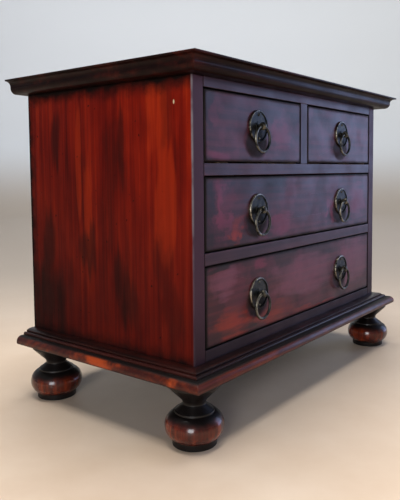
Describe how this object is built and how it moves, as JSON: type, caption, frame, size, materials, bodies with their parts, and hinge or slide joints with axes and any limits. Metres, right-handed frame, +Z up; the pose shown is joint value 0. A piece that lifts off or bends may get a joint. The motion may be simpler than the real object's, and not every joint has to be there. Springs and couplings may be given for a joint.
{
  "type": "miniature chest of drawers",
  "caption": "Miniature stained-wood chest with small drawers over long ones, an ogee-edged top, nosed plinth, turned bun feet and swinging ring handles.",
  "frame": {"origin": "on the floor at the middle of the whole object's width and depth", "axes": "+Z up, the drawers open towards -Y, +X to the right of someone facing the drawers"},
  "size_m": [0.302, 0.183, 0.2372],
  "materials": {
    "dark_finished_wood": "gloss varnish over nearly black antiqued stain",
    "red_finished_wood": "gloss varnish over red mahogany stain on pine",
    "front_finished_wood": "gloss varnish over dark red stain on pine",
    "bare_pine": "planed, unfinished",
    "aged_brass": "antiqued dark, rubbed bright on the high spots",
    "nail_steel": "dull"
  },
  "bodies": {
    "carcass": {"top_board": "dark_finished_wood", "side_board_left": "red_finished_wood", "side_board_right": "red_finished_wood", "back_panel": "bare_pine", "back_panel_nails": "nail_steel", "top_rail": "front_finished_wood", "upper_divider_rail": "front_finished_wood", "lower_divider_rail": "front_finished_wood", "bottom_rail": "front_finished_wood", "muntin": "front_finished_wood", "plinth_board": "red_finished_wood", "base_moulding_front": "dark_finished_wood", "base_moulding_left": "dark_finished_wood", "base_moulding_right": "dark_finished_wood", "upper_side_runners": "bare_pine", "lower_side_runners": "bare_pine", "bottom_side_runners": "bare_pine", "centre_runner": "bare_pine", "centre_guide": "bare_pine", "kicker_strips": "bare_pine", "drawer_stops": "bare_pine", "foot_front_left": "red_finished_wood", "foot_front_right": "red_finished_wood", "foot_back_left": "red_finished_wood", "foot_back_right": "red_finished_wood"},
    "top_left_drawer": {"top_left_drawer_front": "front_finished_wood", "top_left_drawer_side_left": "bare_pine", "top_left_drawer_side_right": "bare_pine", "top_left_drawer_back": "bare_pine", "top_left_drawer_bottom_panel": "bare_pine", "top_left_drawer_backplates": "aged_brass", "top_left_drawer_handle_fixings": "aged_brass"},
    "top_right_drawer": {"top_right_drawer_front": "front_finished_wood", "top_right_drawer_side_left": "bare_pine", "top_right_drawer_side_right": "bare_pine", "top_right_drawer_back": "bare_pine", "top_right_drawer_bottom_panel": "bare_pine", "top_right_drawer_backplates": "aged_brass", "top_right_drawer_handle_fixings": "aged_brass"},
    "middle_drawer": {"middle_drawer_front": "front_finished_wood", "middle_drawer_side_left": "bare_pine", "middle_drawer_side_right": "bare_pine", "middle_drawer_back": "bare_pine", "middle_drawer_bottom_panel": "bare_pine", "middle_drawer_backplates": "aged_brass", "middle_drawer_handle_fixings": "aged_brass"},
    "bottom_drawer": {"bottom_drawer_front": "front_finished_wood", "bottom_drawer_side_left": "bare_pine", "bottom_drawer_side_right": "bare_pine", "bottom_drawer_back": "bare_pine", "bottom_drawer_bottom_panel": "bare_pine", "bottom_drawer_backplates": "aged_brass", "bottom_drawer_handle_fixings": "aged_brass"},
    "ring_top_left": {"ring_top_left": "aged_brass"},
    "ring_top_right": {"ring_top_right": "aged_brass"},
    "ring_middle_left": {"ring_middle_left": "aged_brass"},
    "ring_middle_right": {"ring_middle_right": "aged_brass"},
    "ring_bottom_left": {"ring_bottom_left": "aged_brass"},
    "ring_bottom_right": {"ring_bottom_right": "aged_brass"}
  },
  "joints": [
    {"name": "top_left_drawer_slide", "type": "slide", "parent": "carcass", "child": "top_left_drawer", "axis": [0, -1, 0], "range_m": [0, 0.11]},
    {"name": "top_right_drawer_slide", "type": "slide", "parent": "carcass", "child": "top_right_drawer", "axis": [0, -1, 0], "range_m": [0, 0.11]},
    {"name": "middle_drawer_slide", "type": "slide", "parent": "carcass", "child": "middle_drawer", "axis": [0, -1, 0], "range_m": [0, 0.11]},
    {"name": "bottom_drawer_slide", "type": "slide", "parent": "carcass", "child": "bottom_drawer", "axis": [0, -1, 0], "range_m": [0, 0.11]},
    {"name": "ring_top_left_swing", "type": "hinge", "parent": "top_left_drawer", "child": "ring_top_left", "pos_m": [-0.0645, -0.0796, 0.19935], "axis": [-1, 0, 0], "range_deg": [-5, 175]},
    {"name": "ring_top_right_swing", "type": "hinge", "parent": "top_right_drawer", "child": "ring_top_right", "pos_m": [0.0645, -0.0796, 0.19935], "axis": [-1, 0, 0], "range_deg": [-5, 175]},
    {"name": "ring_middle_left_swing", "type": "hinge", "parent": "middle_drawer", "child": "ring_middle_left", "pos_m": [-0.0645, -0.0796, 0.14185], "axis": [-1, 0, 0], "range_deg": [-5, 175]},
    {"name": "ring_middle_right_swing", "type": "hinge", "parent": "middle_drawer", "child": "ring_middle_right", "pos_m": [0.0645, -0.0796, 0.14185], "axis": [-1, 0, 0], "range_deg": [-5, 175]},
    {"name": "ring_bottom_left_swing", "type": "hinge", "parent": "bottom_drawer", "child": "ring_bottom_left", "pos_m": [-0.0645, -0.0796, 0.08305], "axis": [-1, 0, 0], "range_deg": [-5, 175]},
    {"name": "ring_bottom_right_swing", "type": "hinge", "parent": "bottom_drawer", "child": "ring_bottom_right", "pos_m": [0.0645, -0.0796, 0.08305], "axis": [-1, 0, 0], "range_deg": [-5, 175]}
  ]
}
